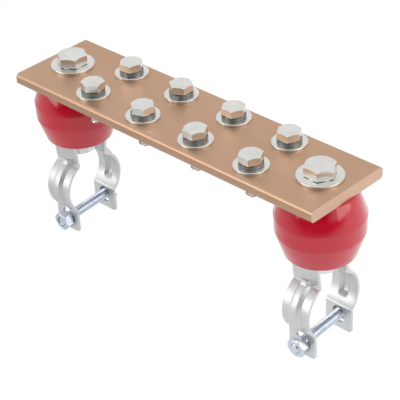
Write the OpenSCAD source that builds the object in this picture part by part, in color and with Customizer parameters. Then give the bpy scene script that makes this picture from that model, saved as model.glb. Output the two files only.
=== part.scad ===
// Rack grounding busbar, in millimetres.
// A tapped copper bar with eight lug bolts sits on two standoff insulators, and under each
// insulator a bent sheet-steel hanger grips a conduit that runs along the rack.
// X runs along the bar, Y across it from the hanger nuts (-Y) to the bolt heads (+Y),
// and Z up from the lower ends of the hangers' ears.

/* [Bar] */
// Length of the copper bar
bar_l = 203.2; // [150:0.1:400]
// Width of the bar
bar_w = 50.8; // [40:0.1:80]
// Thickness of the bar
bar_t = 6.35; // [5:0.05:12]
// Radius of the rolled long edges
bar_edge_r = 2; // [0.5:0.1:3]
// Distance from the middle of the bar to each insulator bolt
mount_x = 85.2; // [65:0.1:150]

/* [Lug bolts] */
// Columns of lug bolts along the bar
lug_cols = 4; // [2:1:6]
// Spacing of the columns
lug_pitch_x = 36.3; // [24:0.1:45]
// Spacing of the two rows
lug_pitch_y = 27.1; // [18:0.1:34]
// Thread diameter
lug_d = 6.35; // [5:0.05:8]
// Length of a lug bolt under its head
lug_l = 19.05; // [16:0.05:30]
// Width of the head across its flats
lug_af = 11.1; // [8:0.1:13]
// Height of the head
lug_head_h = 4.3; // [3:0.1:6]
// Outer diameter of the flat washer
lug_washer_d = 17.9; // [14:0.1:20]
// Thickness of the flat washer
lug_washer_t = 1.25; // [0.8:0.05:2]
// Outer diameter of the split lock washer
lug_lock_d = 12.4; // [10:0.1:15]
// Thickness of the split lock washer
lug_lock_t = 1.7; // [1.2:0.1:2.5]

/* [Insulator bolts] */
// Thread diameter of the bolts in the insulators
post_d = 9.525; // [8:0.005:12]
// Length of the upper bolt under its head
post_l = 19.05; // [16:0.05:22]
// Length of the lower bolt under its head
hanger_bolt_l = 15.9; // [12:0.1:18]
// Width of a head across its flats
post_af = 14.3; // [12:0.1:18]
// Height of a head
post_head_h = 5.6; // [4:0.1:8]
// Outer diameter of the large washer on the bar
post_washer_d = 23.2; // [20:0.1:28]
// Thickness of the large washer
post_washer_t = 1.5; // [1:0.1:2.5]
// Outer diameter of the lock washer under a hanger
post_lock_d = 17.2; // [14:0.1:18]
// Thickness of the lock washer under a hanger
post_lock_t = 2.3; // [1.5:0.1:3]

/* [Insulator] */
// Height of an insulator
ins_h = 34.9; // [28:0.1:60]
// Diameter of its two flat ends
ins_end_d = 35.8; // [26:0.1:44]
// Diameter at the upper edge of the band
ins_band_d = 44.7; // [36:0.1:54]
// Diameter at the lower edge of the band
ins_low_d = 44.1; // [36:0.1:54]
// Height of the band
band_h = 8.8; // [5:0.1:14]
// How far the mould's parting edge stands out above the band
parting_step = 0.15; // [0.05:0.05:0.4]
// Diameter of the brass insert moulded in each end
insert_d = 12.7; // [11:0.1:15]
// Length of an insert
insert_l = 13; // [10:0.5:16]

/* [Hanger] */
// Outer diameter of the conduit that a hanger grips
tube_d = 29.5; // [24:0.1:34]
// Sheet thickness
sheet_t = 1.5; // [1:0.1:2]
// Width of the strap
strap_w = 16.1; // [12:0.1:22]
// Height from the ears' ends to the insulator
hanger_h = 54; // [50:0.5:70]
// Height of the conduit's axis above the ears' ends
grip_z = 25.25; // [24:0.05:27]
// How far each leg's curve stands out from the middle, with the bolt slack
leg_open = 3.2; // [2.6:0.1:4]
// Half the gap between the necks, under the top plate
neck_top = 10.5; // [10:0.1:12]
// Half the gap between the necks, at the shoulders
neck_low = 8.8; // [8:0.1:9.5]
// Half the gap between the ears
ear_gap = 13; // [12.5:0.1:15]
// Inside radius of the bends by the top plate
plate_bend_r = 1.2; // [0.8:0.1:2]
// Radius of the shoulder and ear bends, on the conduit's side
bend_r = 1; // [0.5:0.1:1.5]
// Radius of the ears' corners
ear_corner_r = 1.4; // [1:0.1:4]
// Radius of the pressed rib down each leg
rib_r = 2.6; // [2:0.1:3.2]
// Radius of the groove behind the rib
groove_r = 1.3; // [0.8:0.1:1.6]
// Angle above the conduit's axis where a rib ends
rib_end = -25; // [-30:1:10]
// Angle above the conduit's axis where the groove behind a rib ends
groove_end = 14; // [12:1:25]

/* [Cross bolt] */
// Thread diameter
cross_d = 5.6; // [4.8:0.1:6.4]
// Width of the nut and the head across their flats
cross_af = 9.6; // [8:0.1:10]
// Height of the nut
cross_nut_h = 4.9; // [3:0.1:6]
// Height of the head
cross_head_h = 3.9; // [3:0.1:5]
// Height of the bolt's middle above the ears' ends
cross_z = 7.45; // [6.5:0.05:8]
// How far the slack bolt rises towards its head
cross_tilt = 4.2; // [0:0.1:5]
// Width of the slot in an ear
slot_w = 7.2; // [6:0.1:8]
// Height of the slot in an ear
slot_h = 10.4; // [8:0.1:11]
// Height of the slot's middle above the ears' ends
slot_z = 8.45; // [7:0.05:10]

/* [Hidden] */
$fn = 64;
thread_gap = 0.04;   // radial, between a thread and its hole
washer_gap = 0.4;    // radial, between a bolt and its washers
mould_gap = 0.02;    // radial, between an insert and the insulator
seat_gap = 0.03;     // between the cross bolt's faces and an ear
grip_gap = 0.1;      // radial, between a conduit and the leg that it lies in
tip = 0.8;           // chamfer on a bolt's tip
chamfer_deg = 30;    // chamfer on the heads and nuts
lock_slit = 1;       // width of a lock washer's slit

base_z = hanger_h;
bar_z = base_z + ins_h;
top_z = bar_z + bar_t;
grip_r = tube_d / 2 + grip_gap;
lugs = 2 * lug_cols;
sides = ["left", "right"];
ends = ["top", "bottom"];

// how far each head and lock washer is turned, in the order of the nodes
lug_turn = [40, 21, 0, 0, 9, 27, 3, 3];
post_turn = [30, 59];
cross_turn = [12, 48];
cross_proud = [-0.6, 0.4];  // how far each cross bolt stands out of its nut

function side_x(s) = s == "left" ? -mount_x : mount_x;
function index(s) = s == "left" ? 0 : 1;
// lug i, from 1: the front row from left to right, then the back row
function lug_x(i) = (((i - 1) % lug_cols) - (lug_cols - 1) / 2) * lug_pitch_x;
function lug_y(i) = (i <= lug_cols ? -1 : 1) * lug_pitch_y / 2;

// ---- fasteners ----

// hexagon standing on z = 0, chamfered above, and below too for a nut
module hexagon(af, h, both = false) {
    face = 0.48 * af;
    drop = tan(chamfer_deg);
    intersection() {
        cylinder(h = h, r = af / sqrt(3), $fn = 6);
        cylinder(h = h, r1 = face + h / drop, r2 = face);
        if (both) cylinder(h = h, r1 = face, r2 = face + h / drop);
    }
}

// bolt with the underside of its head on z = 0, pointing down
module hex_bolt(d, l, af, head_h, turn = 0) {
    face_h = 0.3;
    rotate(turn) translate([0, 0, face_h]) hexagon(af, head_h - face_h);
    cylinder(h = face_h, r = 0.475 * af);
    translate([0, 0, tip - l]) cylinder(h = l - tip, r = d / 2);
    translate([0, 0, -l]) cylinder(h = tip, r1 = d / 2 - tip, r2 = d / 2);
}

// flat washer with its upper rim broken
module flat_washer(d_out, d_in, t) {
    rim = 0.25;
    difference() {
        union() {
            cylinder(h = t - rim, r = d_out / 2);
            translate([0, 0, t - rim]) cylinder(h = rim, r1 = d_out / 2, r2 = d_out / 2 - rim);
        }
        translate([0, 0, -1]) cylinder(h = t + 2, r = d_in / 2);
    }
}

// split lock washer, drawn down flat, with a slanted slit
module lock_washer(d_out, d_in, t, turn = 0) {
    difference() {
        cylinder(h = t, r = d_out / 2);
        translate([0, 0, -1]) cylinder(h = t + 2, r = d_in / 2);
        rotate(turn) translate([d_out / 2, 0, t / 2]) rotate([25, 0, 0])
            cube([d_out, lock_slit, 3 * t], center = true);
    }
}

// ---- the bar ----

module busbar() {
    flat_w = bar_w - 2 * bar_edge_r;
    color([0.78, 0.60, 0.50])
    difference() {
        translate([0, 0, bar_z]) rotate([90, 0, 90])
            linear_extrude(height = bar_l, center = true)
            union() {
                translate([-flat_w / 2, 0]) square([flat_w, bar_t]);
                translate([-bar_w / 2, bar_edge_r]) square([bar_w, bar_t - 2 * bar_edge_r]);
                for (y = [-1, 1], z = [bar_edge_r, bar_t - bar_edge_r])
                    translate([y * flat_w / 2, z]) circle(r = bar_edge_r);
            }
        for (s = sides)
            translate([side_x(s), 0, bar_z - 1]) cylinder(h = bar_t + 2, r = post_d / 2 + washer_gap);
        for (i = [1:lugs])
            translate([lug_x(i), lug_y(i), bar_z - 1])
                cylinder(h = bar_t + 2, r = lug_d / 2 + thread_gap);
    }
}

module lug_washer(i) {
    color([0.82, 0.82, 0.80])
    translate([lug_x(i), lug_y(i), top_z])
        flat_washer(lug_washer_d, lug_d + 2 * washer_gap, lug_washer_t);
}

module lug_lock(i) {
    color([0.35, 0.35, 0.36])
    translate([lug_x(i), lug_y(i), top_z + lug_washer_t])
        lock_washer(lug_lock_d, lug_d + washer_gap, lug_lock_t, 100 + 17 * i);
}

module lug_bolt(i) {
    color([0.82, 0.82, 0.80])
    translate([lug_x(i), lug_y(i), top_z + lug_washer_t + lug_lock_t])
        hex_bolt(lug_d, lug_l, lug_af, lug_head_h, lug_turn[(i - 1) % len(lug_turn)]);
}

// ---- insulators and the bolts in them ----

// double cone with a moulded band round its middle, and a pocket for an insert in each end
module insulator(s) {
    r_end = ins_end_d / 2;
    r_band = ins_band_d / 2;
    r_low = ins_low_d / 2;
    rim = 0.6;
    band_z = (ins_h + band_h) / 2;
    color([0.80, 0.08, 0.14])
    translate([side_x(s), 0, base_z])
    difference() {
        rotate_extrude() polygon([
            [0, 0], [r_end - rim, 0], [r_end, rim],
            [r_low, band_z - band_h], [r_band - parting_step, band_z],
            [r_band, band_z], [r_band, band_z + rim / 2],
            [r_end, ins_h - rim], [r_end - rim, ins_h], [0, ins_h]
        ]);
        for (z = [-1, ins_h - insert_l])
            translate([0, 0, z]) cylinder(h = insert_l + 1, r = insert_d / 2 + mould_gap);
    }
}

module insert(s, e) {
    color([0.75, 0.60, 0.30])
    translate([side_x(s), 0, e == "top" ? bar_z - insert_l : base_z])
    difference() {
        cylinder(h = insert_l, r = insert_d / 2);
        translate([0, 0, -1]) cylinder(h = insert_l + 2, r = post_d / 2 + thread_gap);
    }
}

module post_washer(s) {
    color([0.82, 0.82, 0.80])
    translate([side_x(s), 0, top_z])
        flat_washer(post_washer_d, post_d + 2 * washer_gap, post_washer_t);
}

module post_bolt(s) {
    color([0.82, 0.82, 0.80])
    translate([side_x(s), 0, top_z + post_washer_t])
        hex_bolt(post_d, post_l, post_af, post_head_h, post_turn[index(s)]);
}

// the lower bolt comes up through the hanger's top plate, so it is turned over
module hanger_lock(s) {
    color([0.45, 0.45, 0.46])
    translate([side_x(s), 0, base_z - sheet_t - post_lock_t])
        lock_washer(post_lock_d, post_d + washer_gap, post_lock_t, 150);
}

module hanger_bolt(s) {
    color([0.82, 0.82, 0.80])
    translate([side_x(s), 0, base_z - sheet_t - post_lock_t]) rotate([180, 0, 0])
        hex_bolt(post_d, hanger_bolt_l, post_af, post_head_h, 15);
}

// ---- hanger ----
// The leg's section is drawn in the Y-Z plane for the +Y leg. Its inner line runs from the
// top plate down the leaning neck, round the conduit and down the ear, and the sheet lies
// outside that line.

grip_c = [leg_open, grip_z];
neck_deg = acos((neck_low - leg_open) / grip_r);
ear_deg = acos((ear_gap - leg_open) / grip_r);
shoulder = grip_c + grip_r * [cos(neck_deg), sin(neck_deg)];
ear_start = grip_c + grip_r * [cos(ear_deg), -sin(ear_deg)];
lean = atan((neck_top - neck_low) / (base_z - sheet_t - shoulder.y));

// flat sector of a ring between two angles, less than half a turn
module ring_sector(c, r, t, from, to) {
    far = 3 * (r + t);
    mid = (from + to) / 2;
    translate(c) difference() {
        circle(r = r + t);
        circle(r = r);
        rotate(to) translate([-far, 0]) square([2 * far, far]);
        rotate(from) translate([-far, -far]) square([2 * far, far]);
    }
}

// centre of the bend that rounds the corner p between the conduit's curve and the straight
// line from p along d, whose sheet side is n
function bend_c(p, d, n) =
    let (w = p + bend_r * n - grip_c, along = w * d)
    p + bend_r * n + d * (sqrt(along * along - w * w + pow(grip_r + bend_r, 2)) - along);

// what that bend takes off the corner
module corner_waste(p, d, n) {
    c = bend_c(p, d, n);
    on_line = c - bend_r * n;
    on_curve = grip_c + (c - grip_c) * grip_r / (grip_r + bend_r);
    difference() {
        polygon([p - 0.5 * (c - p), on_line, c, on_curve]);
        translate(c) circle(r = bend_r);
    }
}

module leg_section() {
    n = [cos(lean), -sin(lean)];
    up = [sin(lean), cos(lean)];
    plate_z = base_z - sheet_t;
    // the bend by the plate touches the neck's line and the plate's underside
    bend_z = plate_z - plate_bend_r;
    bend_y = shoulder.x + (bend_z - shoulder.y) * tan(lean) - plate_bend_r / cos(lean);
    neck_in = [bend_y, bend_z] + plate_bend_r * n;
    difference() {
        union() {
            // the plate and the neck each end in a point inside the bend between them
            polygon([[-1, plate_z], [bend_y, plate_z], [bend_y + 0.4 * sheet_t, plate_z + sheet_t / 2],
                     [bend_y, base_z], [-1, base_z]]);
            ring_sector([bend_y, bend_z], plate_bend_r, sheet_t, -lean, 90);
            polygon([neck_in, shoulder, shoulder + sheet_t * n, neck_in + sheet_t * n,
                     neck_in + sheet_t / 2 * n + 0.4 * sheet_t * up]);
            ring_sector(grip_c, grip_r, sheet_t, -ear_deg, neck_deg);
            translate([ear_gap, 0]) square([sheet_t, ear_start.y]);
        }
        corner_waste(shoulder, up, n);
        corner_waste(ear_start, [0, -1], [1, 0]);
    }
}

// what follows is drawn round the conduit's axis, in the leg's plane
module round_conduit() {
    translate([0, grip_c.x, grip_c.y]) rotate([90, 0, 90]) children();
}

// outer half of a bent round bar with domed ends, its flat side buried in the sheet
module rib() {
    $fn = 36;
    at = grip_r + sheet_t / 2;
    to = neck_deg - 1;
    dome_r = rib_r - 0.05;
    round_conduit() {
        rotate(rib_end) rotate_extrude(angle = to - rib_end) translate([at, 0])
            intersection() {
                circle(r = rib_r);
                translate([0, -rib_r]) square([rib_r, 2 * rib_r]);
            }
        for (a = [rib_end, to]) rotate(a) translate([at, 0, 0]) rotate([0, 90, 0])
            rotate_extrude() intersection() {
                circle(r = dome_r);
                square(dome_r);
            }
    }
}

// the groove behind the rib, as the bent round bar that fits it; it stops higher than the rib
module rib_groove() {
    $fn = 36;
    at = grip_r + sheet_t / 6;
    from = groove_end;
    to = neck_deg - 5;
    round_conduit()
        rotate(from) rotate_extrude(angle = to - from) translate([at, 0]) circle(r = groove_r);
}

// the strap seen from the front: straight sides, and round corners on the ears
module strap_outline() {
    half = strap_w / 2 - ear_corner_r;
    translate([-half, 0]) square([2 * half, hanger_h + 1]);
    translate([-strap_w / 2, ear_corner_r]) square([strap_w, hanger_h]);
    for (x = [-half, half]) translate([x, ear_corner_r]) circle(r = ear_corner_r);
}

module ear_slot() {
    up = (slot_h - slot_w) / 2;
    translate([0, ear_gap + 3 * sheet_t, slot_z]) rotate([90, 0, 0])
        linear_extrude(height = 4 * sheet_t) union() {
            for (z = [-up, up]) translate([0, z]) circle(r = slot_w / 2);
            translate([-slot_w / 2, -up]) square([slot_w, 2 * up]);
        }
}

module leg() {
    difference() {
        union() {
            intersection() {
                rotate([90, 0, 90]) linear_extrude(height = strap_w + 2, center = true) leg_section();
                translate([0, 2 * tube_d, 0]) rotate([90, 0, 0])
                    linear_extrude(height = 3 * tube_d) strap_outline();
            }
            rib();
        }
        rib_groove();
        ear_slot();
    }
}

module hanger(s) {
    color([0.72, 0.73, 0.74])
    translate([side_x(s), 0, 0])
    difference() {
        union() {
            leg();
            mirror([0, 1, 0]) leg();
        }
        translate([0, 0, base_z - sheet_t - 1]) cylinder(h = sheet_t + 2, r = post_d / 2 + washer_gap);
    }
}

// ---- cross bolt through the ears ----
// The head and the nut each touch their ear with one side of the washer face.

cross_face = 0.48 * cross_af;
seat = (ear_gap + sheet_t + seat_gap + cross_face * sin(cross_tilt)) / cos(cross_tilt);

// turns local +Z into the bolt's direction, from the nut to the head
module along_cross(s) {
    translate([side_x(s), 0, cross_z]) rotate([cross_tilt - 90, 0, 0]) children();
}

module cross_bolt(s) {
    color([0.80, 0.83, 0.87])
    along_cross(s) translate([0, 0, seat])
        hex_bolt(cross_d, 2 * seat + cross_nut_h + cross_proud[index(s)], cross_af, cross_head_h);
}

module cross_nut(s) {
    color([0.80, 0.83, 0.87])
    along_cross(s) translate([0, 0, -seat - cross_nut_h]) rotate(cross_turn[index(s)])
        difference() {
            hexagon(cross_af, cross_nut_h, both = true);
            translate([0, 0, -1]) cylinder(h = cross_nut_h + 2, r = cross_d / 2 + thread_gap);
        }
}

// ---- the nodes ----

busbar();
for (s = sides) {
    insulator(s);
    for (e = ends)
        insert(s, e);
    post_bolt(s);
    post_washer(s);
    hanger(s);
    hanger_lock(s);
    hanger_bolt(s);
    cross_bolt(s);
    cross_nut(s);
}
for (i = [1:lugs]) {
    lug_washer(i);
    lug_lock(i);
    lug_bolt(i);
}
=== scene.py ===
import math
import bmesh
import bpy
from mathutils import Matrix, Vector


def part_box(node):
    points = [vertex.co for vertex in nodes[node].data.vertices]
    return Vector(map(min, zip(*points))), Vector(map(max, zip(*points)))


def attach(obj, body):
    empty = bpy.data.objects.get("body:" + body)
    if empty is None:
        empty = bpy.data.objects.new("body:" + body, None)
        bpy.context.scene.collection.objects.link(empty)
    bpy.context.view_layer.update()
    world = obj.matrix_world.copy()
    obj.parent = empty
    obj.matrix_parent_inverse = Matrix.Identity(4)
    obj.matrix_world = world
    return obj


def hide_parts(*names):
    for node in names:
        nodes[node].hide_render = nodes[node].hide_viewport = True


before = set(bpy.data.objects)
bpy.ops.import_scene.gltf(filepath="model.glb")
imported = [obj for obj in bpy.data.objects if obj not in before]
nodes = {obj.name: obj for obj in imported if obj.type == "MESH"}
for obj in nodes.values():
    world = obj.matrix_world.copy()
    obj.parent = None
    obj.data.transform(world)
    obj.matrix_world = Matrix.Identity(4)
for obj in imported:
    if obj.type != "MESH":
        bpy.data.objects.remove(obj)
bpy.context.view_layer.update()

# ---- the bar ----
# A grounding bar of hard copper, rolled to size with rounded long edges and sawn to length. Its holes
# are drilled, and the eight for the lugs are tapped. The copper has dulled to a pale brown.

BAR_END_X = 0.1016
BAR_BURR = 0.0002
SHARP_ANGLE = math.radians(25)
COPPER_BROWN = (0.62, 0.395, 0.265)
COPPER_DARK = (0.585, 0.365, 0.237)
COPPER_PALE = (0.67, 0.45, 0.32)
COPPER_SAWN = (0.67, 0.45, 0.335)


def finish_piece(name, bm, material, stands_for):
    """makes the mesh an object that rides with the CAD part and stands for one of its nodes"""
    mesh = bpy.data.meshes.new(name)
    for face in bm.faces:
        face.smooth = True
    for edge in bm.edges:
        edge.smooth = len(edge.link_faces) != 2 or edge.calc_face_angle(0) < SHARP_ANGLE
    bm.to_mesh(mesh)
    bm.free()
    piece = bpy.data.objects.new(name, mesh)
    bpy.context.scene.collection.objects.link(piece)
    mesh.materials.append(material)
    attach(piece, "root")
    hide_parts(stands_for)
    return piece


def flatten_faces(piece):
    """lets the wide faces set the shading, so flats stay flat up to their rounded edges"""
    piece.modifiers.new("flats", "WEIGHTED_NORMAL").keep_sharp = True


def merged_copy(node):
    """the CAD node's triangles joined, with its flat faces made whole"""
    bm = bmesh.new()
    bm.from_mesh(nodes[node].data)
    bmesh.ops.remove_doubles(bm, verts=bm.verts, dist=1e-6)
    bmesh.ops.dissolve_limit(bm, angle_limit=math.radians(1), verts=bm.verts, edges=bm.edges)
    return bm


def break_edges(bm, width):
    """rounds every edge that a tool or a die would leave blunt"""
    sharp = [e for e in bm.edges if len(e.link_faces) == 2 and e.calc_face_angle(0) > SHARP_ANGLE]
    bmesh.ops.bevel(bm, geom=sharp, offset=width, affect="EDGES", segments=2, profile=0.5,
                    material=-1, clamp_overlap=True)
    bmesh.ops.remove_doubles(bm, verts=bm.verts, dist=2e-6)


def new_finish(name, colour, roughness, metallic=1.0):
    """a material, and its node tree, its Principled node and the Object coordinates for its patterns"""
    material = bpy.data.materials.new(name)
    material.use_nodes = True
    tree = material.node_tree
    shader = tree.nodes["Principled BSDF"]
    shader.inputs["Base Color"].default_value = (*colour, 1)
    shader.inputs["Metallic"].default_value = metallic
    shader.inputs["Roughness"].default_value = roughness
    place = tree.nodes.new("ShaderNodeTexCoord").outputs["Object"]
    return material, tree, shader, place


def add_noise(tree, place, scale, stretch=(1, 1, 1), detail=4):
    """noise that is as fine as scale says per metre, drawn out along an axis where stretch is small"""
    mapping = tree.nodes.new("ShaderNodeMapping")
    mapping.inputs["Scale"].default_value = [scale * s for s in stretch]
    noise = tree.nodes.new("ShaderNodeTexNoise")
    noise.inputs["Scale"].default_value = 1
    noise.inputs["Detail"].default_value = detail
    noise.inputs["Roughness"].default_value = 0.6
    tree.links.new(place, mapping.inputs["Vector"])
    tree.links.new(mapping.outputs["Vector"], noise.inputs["Vector"])
    return noise.outputs["Fac"]


def add_range(tree, value, low, high, to_low=0.0, to_high=1.0):
    """maps low..high of a value to to_low..to_high, held at both ends"""
    node = tree.nodes.new("ShaderNodeMapRange")
    node.inputs["From Min"].default_value = low
    node.inputs["From Max"].default_value = high
    node.inputs["To Min"].default_value = to_low
    node.inputs["To Max"].default_value = to_high
    tree.links.new(value, node.inputs["Value"])
    return node.outputs["Result"]


def add_mix(tree, factor, one, two):
    """a colour between two, each a plain colour or another node's colour"""
    node = tree.nodes.new("ShaderNodeMix")
    node.data_type = "RGBA"
    tree.links.new(factor, node.inputs["Factor"])
    for socket, value in (("A", one), ("B", two)):
        target = [i for i in node.inputs if i.name == socket and i.type == "RGBA"][0]
        if isinstance(value, tuple):
            target.default_value = (*value, 1)
        else:
            tree.links.new(value, target)
    return [o for o in node.outputs if o.type == "RGBA"][0]


def add_bump(tree, shader, height, depth, strength):
    """a surface that rises by depth, in metres, where height is 1, on top of an earlier bump"""
    node = tree.nodes.new("ShaderNodeBump")
    node.inputs["Strength"].default_value = strength
    node.inputs["Distance"].default_value = depth
    tree.links.new(height, node.inputs["Height"])
    last = shader.inputs["Normal"].links
    if last:
        tree.links.new(last[0].from_socket, node.inputs["Normal"])
    tree.links.new(node.outputs["Normal"], shader.inputs["Normal"])


copper, tree, shader, place = new_finish("copper", COPPER_BROWN, 0.4)
drawn = add_noise(tree, place, 90, (0.12, 1, 1))
cloudy = add_noise(tree, place, 38, (0.35, 1, 1), detail=3)
scratches = add_noise(tree, place, 700, (0.1, 1, 1), detail=2)
tone = add_mix(tree, add_range(tree, drawn, 0.35, 0.65), COPPER_BROWN, COPPER_DARK)
tone = add_mix(tree, add_range(tree, cloudy, 0.42, 0.7, 0, 0.55), tone, COPPER_PALE)
axes = tree.nodes.new("ShaderNodeSeparateXYZ")
tree.links.new(place, axes.inputs["Vector"])
from_middle = tree.nodes.new("ShaderNodeMath")
from_middle.operation = "ABSOLUTE"
tree.links.new(axes.outputs["X"], from_middle.inputs[0])
sawn = add_range(tree, from_middle.outputs[0], BAR_END_X - 0.00015, BAR_END_X - 0.00005)
tree.links.new(add_mix(tree, sawn, tone, COPPER_SAWN), shader.inputs["Base Color"])
tree.links.new(add_range(tree, cloudy, 0.3, 0.7, 0.34, 0.46), shader.inputs["Roughness"])
add_bump(tree, shader, scratches, 0.000006, 0.5)
add_bump(tree, shader, cloudy, 0.00005, 0.15)

bm = merged_copy("busbar")
break_edges(bm, BAR_BURR)
flatten_faces(finish_piece("copper_bar", bm, copper, "busbar"))

# ---- insulators ----
# Standoffs of glass-filled polyester, moulded red in a two-part mould that parts at the upper edge of the
# band, so a fine line runs round there. A pocket in each end holds a brass insert.

HANGER_H = 0.054
INSULATOR_H = 0.0349
END_R = 0.0179
BAND_R = 0.02235
LOW_R = 0.02205
BAND_TOP = 0.02185
BAND_H = 0.0088
PARTING = 0.00015
POCKET_R = 0.00637
POCKET_L = 0.013
RIM = 0.0006
RIM_SOFT = 0.0003
BAND_SOFT = 0.0006
CONE_SOFT = 0.0005
ROUND_STEPS = 128
MOULDED_RED = (0.56, 0.001, 0.019)
MOULDED_LIGHT = (0.61, 0.002, 0.022)

insulator_red, tree, shader, place = new_finish("insulator_red", MOULDED_RED, 0.12, metallic=0.0)
shader.inputs["IOR"].default_value = 1.5
shader.inputs["Coat Weight"].default_value = 0.6
shader.inputs["Coat Roughness"].default_value = 0.08
flow = add_noise(tree, place, 120, detail=3)
skin = add_noise(tree, place, 900, detail=2)
tone = add_mix(tree, add_range(tree, flow, 0.35, 0.65), MOULDED_RED, MOULDED_LIGHT)
tree.links.new(tone, shader.inputs["Base Color"])
tree.links.new(add_range(tree, flow, 0.3, 0.7, 0.09, 0.15), shader.inputs["Roughness"])
add_bump(tree, shader, skin, 0.00001, 0.35)
add_bump(tree, shader, flow, 0.00003, 0.2)

post_x = {"left": -0.0852, "right": 0.0852}
# Each corner of the section has its radius, its height and the rounding that the mould gives it.
section = [
    (0, POCKET_L, 0),
    (POCKET_R, POCKET_L, 0),
    (POCKET_R, 0, 0),
    (END_R - RIM, 0, RIM_SOFT),
    (END_R, RIM, RIM_SOFT),
    (LOW_R, BAND_TOP - BAND_H, BAND_SOFT),
    (BAND_R - PARTING, BAND_TOP, 0),
    (BAND_R, BAND_TOP, 0),
    (BAND_R, BAND_TOP + RIM / 2, 0),
    (END_R, INSULATOR_H - RIM, CONE_SOFT),
    (END_R - RIM, INSULATOR_H, RIM_SOFT),
    (POCKET_R, INSULATOR_H, 0),
    (POCKET_R, INSULATOR_H - POCKET_L, 0),
    (0, INSULATOR_H - POCKET_L, 0),
]
for side, x in post_x.items():
    bm = bmesh.new()
    corners = [bm.verts.new((x + r, 0, HANGER_H + z)) for r, z, soft in section]
    for pair in zip(corners, corners[1:]):
        bm.edges.new(pair)
    for corner, (_, _, soft) in zip(corners, section):
        if soft:
            bmesh.ops.bevel(bm, geom=[corner], offset=soft, affect="VERTICES", segments=4, profile=0.5,
                            material=-1)
    bmesh.ops.spin(bm, geom=bm.verts[:] + bm.edges[:], cent=(x, 0, 0), axis=(0, 0, 1), angle=math.tau,
                   steps=ROUND_STEPS, use_merge=True, dvec=(0, 0, 0))
    bmesh.ops.remove_doubles(bm, verts=bm.verts, dist=1e-6)
    bmesh.ops.recalc_face_normals(bm, faces=bm.faces)
    finish_piece("standoff_" + side, bm, insulator_red, "insulator_" + side)

# ---- inserts ----
# Turned brass sleeves, knurled outside and tapped, moulded into the ends of the insulators. Only their
# rims can be seen once the bolts are out.

BRASS_BRIGHT = (0.72, 0.54, 0.26)
BRASS_DARK = (0.64, 0.47, 0.22)

insert_brass, tree, shader, place = new_finish("insert_brass", BRASS_BRIGHT, 0.3)
turned = add_noise(tree, place, 600, (1, 1, 4))
tree.links.new(add_range(tree, turned, 0.3, 0.7, 0.24, 0.38), shader.inputs["Roughness"])
tree.links.new(add_mix(tree, turned, BRASS_BRIGHT, BRASS_DARK), shader.inputs["Base Color"])
for side in post_x:
    for end in ("top", "bottom"):
        mesh = nodes[f"insert_{side}_{end}"].data
        mesh.materials.clear()
        mesh.materials.append(insert_brass)

# ---- washers ----
# Flat washers punched from stainless sheet, with a narrow burr rolled off each rim. The bolts at the
# bar's ends have larger ones.

WASHER_BURR = 0.00012
STEEL_BRIGHT = (0.84, 0.835, 0.81)
STEEL_WARM = (0.78, 0.77, 0.735)

stainless, tree, shader, place = new_finish("stainless", STEEL_BRIGHT, 0.22)
patches = add_noise(tree, place, 140, detail=3)
grain = add_noise(tree, place, 1800, (1, 0.3, 1), detail=2)
tone = add_mix(tree, add_range(tree, patches, 0.35, 0.65), STEEL_BRIGHT, STEEL_WARM)
tree.links.new(tone, shader.inputs["Base Color"])
tree.links.new(add_range(tree, patches, 0.3, 0.7, 0.19, 0.25), shader.inputs["Roughness"])
add_bump(tree, shader, grain, 0.000002, 0.3)

for name in [f"lug_washer_{i}" for i in range(1, 9)] + ["post_washer_" + side for side in post_x]:
    bm = merged_copy(name)
    break_edges(bm, WASHER_BURR)
    flatten_faces(finish_piece("flat_" + name, bm, stainless, name))

# ---- lock washers ----
# Split washers coiled from hardened wire and cut on a slant. They are duller than the bolts, and the
# tightened heads press them flat. Their dark grey is painted shade for the narrow gap under the heads.

WIRE_EDGE = 0.00015
# the wire's dark greys are painted shade for the gap under the heads; the scale marks between them are
# random tone
SPRING_SHADE_GREY = (0.37, 0.36, 0.345)
SPRING_SHADE_DARK = (0.24, 0.235, 0.225)

spring_steel, tree, shader, place = new_finish("spring_steel", SPRING_SHADE_GREY, 0.42)
scale_marks = add_noise(tree, place, 500, detail=3)
tone = add_mix(tree, add_range(tree, scale_marks, 0.35, 0.65), SPRING_SHADE_GREY, SPRING_SHADE_DARK)
tree.links.new(tone, shader.inputs["Base Color"])
tree.links.new(add_range(tree, scale_marks, 0.3, 0.7, 0.34, 0.52), shader.inputs["Roughness"])
add_bump(tree, shader, scale_marks, 0.00003, 0.4)

for name in [f"lug_lock_{i}" for i in range(1, 9)] + ["hanger_lock_" + side for side in post_x]:
    bm = merged_copy(name)
    break_edges(bm, WIRE_EDGE)
    flatten_faces(finish_piece("split_" + name, bm, spring_steel, name))

# ---- lug bolts ----
# Hex bolts forged cold from stainless wire, with rolled threads. They screw into the bar from above, so
# their threaded ends stand out of its underside.

BAR_UNDER = 0.0889
LUG_THREAD_D = 0.00631
LUG_PITCH = 0.00127
LUG_TIP = 0.0008
LUG_CUT_Z = BAR_UNDER + 0.001
LUG_THREAD_Z = BAR_UNDER + 0.0015
LUG_BURR = 0.00013
THREAD_STEPS = 40
THREAD_DEPTH = 0.6
# One turn of the groove and its crest: shares of the pitch, and whether the point is on the crest.
TOOTH = [(0, False), (0.12, False), (0.46, True), (0.60, True), (1, False)]


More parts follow.
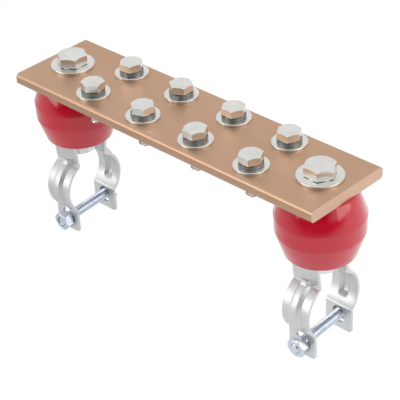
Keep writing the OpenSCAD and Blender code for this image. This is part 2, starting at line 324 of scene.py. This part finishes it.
def add_thread(bm, place, d, pitch, length, tip):
    """a rolled thread round local Z from 0 up to its pointed end at that length, placed by a matrix"""
    crest = d / 2
    root = crest - THREAD_DEPTH * pitch
    end_r = crest - tip
    thread = bmesh.new()
    points = [thread.verts.new((crest if high else root, 0, (k - 1) * pitch)) for k, high in TOOTH]
    for pair in zip(points, points[1:]):
        thread.edges.new(pair)
    turns = math.ceil(length / pitch) + 2
    bmesh.ops.spin(thread, geom=thread.verts[:] + thread.edges[:], cent=(0, 0, 0), axis=(0, 0, 1),
                   angle=math.tau * turns, steps=THREAD_STEPS * turns, dvec=(0, 0, pitch / THREAD_STEPS))
    for v in thread.verts:
        r = math.hypot(v.co.x, v.co.y)
        z = min(length, max(0, v.co.z))
        wanted = root if v.co.z <= 0 else min(r, end_r + length - z)
        if v.co.z >= length:
            wanted = end_r
        v.co = (v.co.x * wanted / r, v.co.y * wanted / r, z)
    bmesh.ops.remove_doubles(thread, verts=thread.verts, dist=5e-6)
    bmesh.ops.dissolve_degenerate(thread, edges=thread.edges, dist=1e-6)
    rims = [e for e in thread.edges if len(e.link_faces) == 1]
    bmesh.ops.holes_fill(thread, edges=rims, sides=0)
    bmesh.ops.recalc_face_normals(thread, faces=thread.faces)
    bmesh.ops.transform(thread, matrix=place, verts=thread.verts)
    built = bpy.data.meshes.new("thread")
    thread.to_mesh(built)
    thread.free()
    bm.from_mesh(built)
    bpy.data.meshes.remove(built)


def keep_side(bm, point, direction):
    """cuts the mesh across at a point, keeps what lies along the direction and closes the cut"""
    bmesh.ops.bisect_plane(bm, geom=bm.verts[:] + bm.edges[:] + bm.faces[:], dist=1e-7, plane_co=point,
                           plane_no=direction, clear_inner=True)
    bmesh.ops.holes_fill(bm, edges=[e for e in bm.edges if len(e.link_faces) == 1], sides=0)


for i in range(1, 9):
    low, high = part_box(f"lug_bolt_{i}")
    x, y = (low[0] + high[0]) / 2, (low[1] + high[1]) / 2
    bm = merged_copy(f"lug_bolt_{i}")
    keep_side(bm, (x, y, LUG_CUT_Z), (0, 0, 1))
    break_edges(bm, LUG_BURR)
    upside_down = Matrix.Translation((x, y, LUG_THREAD_Z)) @ Matrix.Rotation(math.pi, 4, "X")
    add_thread(bm, upside_down, LUG_THREAD_D, LUG_PITCH, LUG_THREAD_Z - low[2], LUG_TIP)
    flatten_faces(finish_piece(f"lug_screw_{i}", bm, stainless, f"lug_bolt_{i}"))

# ---- insulator bolts ----
# Larger stainless hex bolts, one down through each end of the bar into an insulator, and one up through
# each hanger's top plate. Their threads lie inside the inserts.

POST_BURR = 0.00016

for name in ["post_bolt_" + side for side in post_x] + ["hanger_bolt_" + side for side in post_x]:
    bm = merged_copy(name)
    break_edges(bm, POST_BURR)
    flatten_faces(finish_piece("hex_" + name, bm, stainless, name))

# ---- hangers ----
# Conduit hangers, each one strip of galvanized steel. It is blanked with its slots, a stiffening rib is
# pressed into each leg, and it is bent over a conduit's shape, so the groove behind the rib faces inwards.

SHEET = 0.0015
SHEET_BURR = 0.0002
STRAP_W = 0.0161
GRIP_R = 0.01485
GRIP_C = Vector((0.0032, 0.02525))
NECK_LOW = 0.0088
NECK_TOP = 0.0105
EAR_GAP = 0.013
PLATE_BEND_R = 0.0012
SHOULDER_R = 0.0018
EAR_CORNER_R = 0.0014
SLOT_W, SLOT_H, SLOT_Z = 0.0072, 0.00985, 0.008175
HOLE_R = 0.00516
RIB_RISE = 0.0019
RIB_HALF = 0.0034
RIB_FLANK = 0.0021
RIB_SHOULDER_R = 0.003
RIB_TOP_Z = 0.0435
RIB_TOP_FADE = 0.004
RIB_LOW_DEG = -33
RIB_LOW_FADE = 12
STRAP_COLUMNS = 40
PLATE_BEND_ROWS, NECK_ROWS, BEND_ROWS, GRIP_ROWS = 6, 26, 8, 84
ZINC_GREY = (0.63, 0.64, 0.65)
ZINC_MID = (0.70, 0.71, 0.72)
ZINC_BLOOM = (0.76, 0.765, 0.77)

galvanized, tree, shader, place = new_finish("galvanized", ZINC_MID, 0.42, metallic=0.9)
spangle = tree.nodes.new("ShaderNodeTexVoronoi")
spangle.inputs["Scale"].default_value = 420
tree.links.new(place, spangle.inputs["Vector"])
spangle_shade = tree.nodes.new("ShaderNodeSeparateColor")
tree.links.new(spangle.outputs["Color"], spangle_shade.inputs["Color"])
bloom = add_noise(tree, place, 150, detail=4)
tone = add_mix(tree, add_range(tree, spangle_shade.outputs[0], 0, 1, 0, 0.35), ZINC_MID, ZINC_GREY)
tone = add_mix(tree, add_range(tree, bloom, 0.4, 0.7, 0, 0.6), tone, ZINC_BLOOM)
tree.links.new(tone, shader.inputs["Base Color"])
tree.links.new(add_range(tree, bloom, 0.3, 0.7, 0.36, 0.5), shader.inputs["Roughness"])
add_bump(tree, shader, bloom, 0.00005, 0.3)

# A leg is worked out in two numbers: outwards from the hanger's middle, and up.
neck_angle = math.acos((NECK_LOW - GRIP_C.x) / GRIP_R)
ear_angle = -math.acos((EAR_GAP - GRIP_C.x) / GRIP_R)
shoulder = GRIP_C + GRIP_R * Vector((math.cos(neck_angle), math.sin(neck_angle)))
lean = math.atan((NECK_TOP - NECK_LOW) / (HANGER_H - SHEET - shoulder.y))
neck_up = Vector((math.sin(lean), math.cos(lean)))
neck_out = Vector((math.cos(lean), -math.sin(lean)))
plate_bend = Vector((0, HANGER_H - SHEET - PLATE_BEND_R))
plate_bend.x = shoulder.x + (plate_bend.y - shoulder.y) * math.tan(lean) - PLATE_BEND_R / math.cos(lean)


def arc(centre, radius, start, end, steps):
    """points round a centre from one angle to another, both ends included"""
    return [centre + radius * Vector((math.cos(a), math.sin(a)))
            for a in (start + (end - start) * k / steps for k in range(steps + 1))]


def angle_of(v):
    return math.atan2(v.y, v.x)


def bend_from_line(point, along, out, radius, bend_r):
    """centre of a bend of that radius between a line and the curve round the conduit"""
    w = point + bend_r * out - GRIP_C
    reach = w.dot(along)
    further = math.sqrt(reach * reach - w.dot(w) + (radius + bend_r) ** 2) - reach
    return point + bend_r * out + along * further


def leg_path(rise, bend_r):
    """the sheet's middle from the plate's bend to the ear, moved outwards by rise"""
    mid = SHEET / 2 + rise
    radius = GRIP_R + mid
    points = arc(plate_bend, PLATE_BEND_R + SHEET / 2, math.pi / 2, -lean, PLATE_BEND_ROWS)
    upper = bend_from_line(shoulder + mid * neck_out, neck_up, neck_out, radius, bend_r)
    neck_top, neck_foot = points[-1], upper - bend_r * neck_out
    points += [neck_top.lerp(neck_foot, k / NECK_ROWS) for k in range(1, NECK_ROWS)]
    start, end = math.pi + angle_of(neck_out), angle_of(GRIP_C - upper)
    points += arc(upper, bend_r, start, end + (math.tau if end < start - math.pi else 0), BEND_ROWS)
    ear_head = Vector((EAR_GAP + mid, GRIP_C.y + GRIP_R * math.sin(ear_angle)))
    lower = bend_from_line(ear_head, Vector((0, -1)), Vector((1, 0)), radius, bend_r)
    points += arc(GRIP_C, radius, angle_of(upper - GRIP_C), angle_of(lower - GRIP_C), GRIP_ROWS)[1:-1]
    points += arc(lower, bend_r, angle_of(GRIP_C - lower), math.pi, BEND_ROWS)
    return points


def smooth_step(x):
    x = min(1, max(0, x))
    return x * x * (3 - 2 * x)


flat_path = leg_path(0, SHOULDER_R - SHEET / 2)
crown_path = leg_path(RIB_RISE, RIB_SHOULDER_R)


def rib_share(row, x):
    """how much of the rib's rise a place on the strip has"""
    spot = flat_path[row]
    degrees = math.degrees(angle_of(spot - GRIP_C))
    upper_end = smooth_step((RIB_TOP_Z - spot.y) / RIB_TOP_FADE)
    lower_end = smooth_step((degrees - RIB_LOW_DEG) / RIB_LOW_FADE)
    return upper_end * lower_end * smooth_step((RIB_HALF - abs(x)) / RIB_FLANK)


def is_at(value, wanted):
    return abs(value - wanted) < 1e-7


def add_leg(bm, x0):
    """the strip from the plate's bend down to the ear, as a grid with its rib pressed out"""
    rows = len(flat_path) - 1
    bmesh.ops.create_grid(bm, x_segments=STRAP_COLUMNS, y_segments=rows, size=0.5)
    for v in bm.verts:
        row = round((0.5 - v.co.y) * rows)
        x = v.co.x * STRAP_W
        spot = flat_path[row].lerp(crown_path[row], rib_share(row, x))
        v.co = (x0 + x, spot.x, spot.y)


def add_ear(bm, x0):
    """the flat ear under the leg, with its two rounded corners and its slot"""
    ear_y, foot_z = flat_path[-1]
    foot = [v for v in bm.verts if is_at(v.co.z, foot_z) and v.co.y > ear_y - 1e-6]
    foot.sort(key=lambda v: v.co.x)
    corners = [bm.verts.new((x0 + way * STRAP_W / 2, ear_y, 0)) for way in (-1, 1)]
    for pair in ((foot[0], corners[0]), corners, (corners[1], foot[-1])):
        bm.edges.new(pair)
    half_step = Matrix.Rotation(math.radians(5), 4, "Z")
    place = Matrix.Translation((x0, ear_y, SLOT_Z)) @ Matrix.Rotation(math.pi / 2, 4, "X") @ half_step
    slot = bmesh.ops.create_circle(bm, segments=36, radius=SLOT_W / 2, matrix=place)["verts"]
    for v in slot:
        v.co.z += math.copysign((SLOT_H - SLOT_W) / 2, v.co.z - SLOT_Z)
    bmesh.ops.bevel(bm, geom=corners, offset=EAR_CORNER_R, affect="VERTICES", segments=5, profile=0.5,
                    material=-1)
    rim = [e for e in bm.edges if not e.link_faces
           or (len(e.link_faces) == 1 and e.verts[0] in foot and e.verts[1] in foot)]
    bmesh.ops.triangle_fill(bm, edges=rim, use_beauty=True, use_dissolve=False)


def add_plate(bm, x0):
    """the flat plate between the two legs, with its bolt hole"""
    plate_z = flat_path[0].y
    rim = [e for e in bm.edges
           if len(e.link_faces) == 1 and all(is_at(v.co.z, plate_z) for v in e.verts)]
    ends = {v for e in rim for v in e.verts if is_at(abs(v.co.x - x0), STRAP_W / 2)}
    for way in (-1, 1):
        rim.append(bm.edges.new([v for v in ends if (v.co.x - x0) * way > 0]))
    place = Matrix.Translation((x0, 0, plate_z))
    hole = bmesh.ops.create_circle(bm, segments=48, radius=HOLE_R, matrix=place)
    rim += {e for v in hole["verts"] for e in v.link_edges}
    bmesh.ops.triangle_fill(bm, edges=rim, use_beauty=True, use_dissolve=False)


for side, x in post_x.items():
    bm = bmesh.new()
    add_leg(bm, x)
    add_ear(bm, x)
    bmesh.ops.mirror(bm, geom=bm.verts[:] + bm.edges[:] + bm.faces[:], axis="Y", merge_dist=0)
    add_plate(bm, x)
    bmesh.ops.remove_doubles(bm, verts=bm.verts, dist=1e-7)
    bmesh.ops.recalc_face_normals(bm, faces=bm.faces)
    plate_face = next(f for f in bm.faces if abs(f.calc_center_median().z - flat_path[0].y) < 1e-6)
    if plate_face.normal.z < 0:
        bmesh.ops.reverse_faces(bm, faces=bm.faces)
    strap = finish_piece("strap_" + side, bm, galvanized, "hanger_" + side)
    wall = strap.modifiers.new("sheet", "SOLIDIFY")
    wall.thickness = SHEET
    wall.offset = 0
    blunt = strap.modifiers.new("blunt", "BEVEL")
    blunt.width = SHEET_BURR
    blunt.segments = 2
    blunt.limit_method = "ANGLE"
    blunt.angle_limit = math.radians(50)
    flatten_faces(strap)

# ---- cross bolts ----
# Zinc-plated hex bolts, threaded to the head, with chamfered nuts. They draw a hanger's ears together,
# and here they are slack, so they hang a little out of level.

CROSS_D = 0.0056
CROSS_PITCH = 0.00106
CROSS_TIP = 0.0007
CROSS_TILT = math.radians(4.2)
CROSS_Z = 0.00745
CROSS_SEAT = 0.01493
CROSS_CUT = CROSS_SEAT - 0.0004
CROSS_THREAD = CROSS_SEAT - 0.0002
CROSS_BURR = 0.00013
NUT_BURR = 0.00015
PLATED_BRIGHT = (0.73, 0.775, 0.84)
PLATED_BLUE = (0.62, 0.68, 0.77)

zinc, tree, shader, place = new_finish("zinc", PLATED_BRIGHT, 0.26)
plate_tint = add_noise(tree, place, 240, detail=3)
pits = add_noise(tree, place, 1500, detail=2)
tone = add_mix(tree, add_range(tree, plate_tint, 0.35, 0.65), PLATED_BRIGHT, PLATED_BLUE)
tree.links.new(tone, shader.inputs["Base Color"])
tree.links.new(add_range(tree, plate_tint, 0.3, 0.7, 0.2, 0.32), shader.inputs["Roughness"])
add_bump(tree, shader, pits, 0.00001, 0.4)

toward_head = Vector((0, math.cos(CROSS_TILT), math.sin(CROSS_TILT)))
for side, x in post_x.items():
    middle = Vector((x, 0, CROSS_Z))
    nut_end = min((v.co - middle).dot(toward_head) for v in nodes["cross_bolt_" + side].data.vertices)
    bm = merged_copy("cross_bolt_" + side)
    keep_side(bm, middle + CROSS_CUT * toward_head, toward_head)
    break_edges(bm, CROSS_BURR)
    toward_nut = (Matrix.Translation(middle + CROSS_THREAD * toward_head)
                  @ Matrix.Rotation(math.pi / 2 + CROSS_TILT, 4, "X"))
    add_thread(bm, toward_nut, CROSS_D, CROSS_PITCH, CROSS_THREAD - nut_end, CROSS_TIP)
    flatten_faces(finish_piece("cross_screw_" + side, bm, zinc, "cross_bolt_" + side))
    bm = merged_copy("cross_nut_" + side)
    break_edges(bm, NUT_BURR)
    flatten_faces(finish_piece("hex_nut_" + side, bm, zinc, "cross_nut_" + side))

# ---- studio ----
# A plain white sweep under a white surround that is dark on the camera's side, with a large soft lamp to
# the right and one to the left. The sweep keeps the part's soft shadow. Polished faces see a painted
# reflection: for glossy rays the sweep's glow is brighter to the right and dark where the camera stands.

FLOOR_PAPER = (0.86, 0.86, 0.86)
FLOOR_GLOW_SHARE = 0.93
FLOOR_SEEN = 1.035
RIGHT_WAY = (0.718, 0.695, 0)
DARK_WAY = Vector((0.55, -0.83, 0.05))
SURROUND_WHITE = (1.0, 1.0, 1.0)
SURROUND_DARK = (0.03, 0.03, 0.035)
LAMP_AIM = Vector((0, 0, 0.07))


def add_dot(tree, place, way):
    """how far a place lies along a direction"""
    node = tree.nodes.new("ShaderNodeVectorMath")
    node.operation = "DOT_PRODUCT"
    node.inputs[1].default_value = way
    tree.links.new(place, node.inputs[0])
    return node.outputs["Value"]


def add_math(tree, operation, one, two):
    """one number worked out from two, the second a plain number or another node's"""
    node = tree.nodes.new("ShaderNodeMath")
    node.operation = operation
    tree.links.new(one, node.inputs[0])
    if isinstance(two, float):
        node.inputs[1].default_value = two
    else:
        tree.links.new(two, node.inputs[1])
    return node.outputs[0]


floor_white = bpy.data.materials.new("floor_white")
floor_white.use_nodes = True
tree = floor_white.node_tree
tree.nodes.clear()
output = tree.nodes.new("ShaderNodeOutputMaterial")
paper = tree.nodes.new("ShaderNodeBsdfDiffuse")
paper.inputs["Color"].default_value = (*FLOOR_PAPER, 1)
glow = tree.nodes.new("ShaderNodeEmission")
blend = tree.nodes.new("ShaderNodeMixShader")
rays = tree.nodes.new("ShaderNodeLightPath")
floor_place = tree.nodes.new("ShaderNodeTexCoord").outputs["Object"]
direct = add_math(tree, "MAXIMUM", rays.outputs["Is Camera Ray"], rays.outputs["Is Glossy Ray"])
tree.links.new(add_math(tree, "MULTIPLY", direct, FLOOR_GLOW_SHARE), blend.inputs[0])
tree.links.new(paper.outputs[0], blend.inputs[1])
tree.links.new(glow.outputs[0], blend.inputs[2])
tree.links.new(blend.outputs[0], output.inputs["Surface"])
# painted light on the sweep, seen only in reflections: its glow grows brighter to the right and falls to
# dark on the camera's side
sweep_painted_glow_right = add_range(tree, add_dot(tree, floor_place, RIGHT_WAY), -0.2, 0.18, 0.6, 1.05)
sweep_painted_dark_side = add_range(tree, add_dot(tree, floor_place, (DARK_WAY.x, DARK_WAY.y, 0)), 0.2, 0.5, 1.0, 0.03)
tree.links.new(sweep_painted_glow_right, sweep_painted_dark_side.node.inputs["To Min"])
strength = add_range(tree, rays.outputs["Is Glossy Ray"], 0, 1, FLOOR_SEEN, 1.0)
tree.links.new(sweep_painted_dark_side, strength.node.inputs["To Max"])
tree.links.new(strength, glow.inputs["Strength"])
bm = bmesh.new()
bmesh.ops.create_grid(bm, x_segments=1, y_segments=1, size=4)
mesh = bpy.data.meshes.new("floor")
bm.to_mesh(mesh)
bm.free()
floor = bpy.data.objects.new("floor", mesh)
bpy.context.scene.collection.objects.link(floor)
mesh.materials.append(floor_white)

world = bpy.data.worlds.new("surround")
world.use_nodes = True
tree = world.node_tree
background = tree.nodes["Background"]
heading = tree.nodes.new("ShaderNodeTexCoord").outputs["Generated"]
dark_share = add_range(tree, add_dot(tree, heading, DARK_WAY.normalized()), 0.74, 0.93)
surround = add_mix(tree, dark_share, SURROUND_WHITE, SURROUND_DARK)
tree.links.new(surround, background.inputs["Color"])
background.inputs["Strength"].default_value = 0.85
bpy.context.scene.world = world


def add_lamp(name, place, width, height, radiance):
    """a soft box that faces the part, as bright as radiance says all over"""
    lamp = bpy.data.lights.new(name, "AREA")
    lamp.shape = "RECTANGLE"
    lamp.size, lamp.size_y = width, height
    lamp.energy = radiance * math.pi * width * height
    box = bpy.data.objects.new(name, lamp)
    bpy.context.scene.collection.objects.link(box)
    turn = (Vector(place) - LAMP_AIM).to_track_quat("Z", "Y").to_matrix().to_4x4()
    box.matrix_world = Matrix.Translation(place) @ turn


add_lamp("lamp_right", (1.16, 0.32, 0.33), 0.95, 0.65, 1.75)
add_lamp("lamp_left", (-0.55, -1.05, 0.33), 0.8, 0.65, 1.9)

camera = bpy.data.objects.new("camera", bpy.data.cameras.new("camera"))
bpy.context.scene.collection.objects.link(camera)
camera.data.sensor_width = 36
camera.data.lens = 140.957
camera.data.clip_end = 10
camera_place = Vector((0.48287, -0.46349, 0.48410))
right = Vector((0.71756, 0.69483, -0.04815))
up = Vector((-0.35243, 0.42186, 0.83536))
back = Vector((0.60074, -0.58246, 0.54759))
camera.matrix_world = Matrix.Translation(camera_place) @ Matrix((right, up, back)).transposed().to_4x4()
bpy.context.scene.camera = camera
bpy.context.scene.view_settings.view_transform = "Standard"
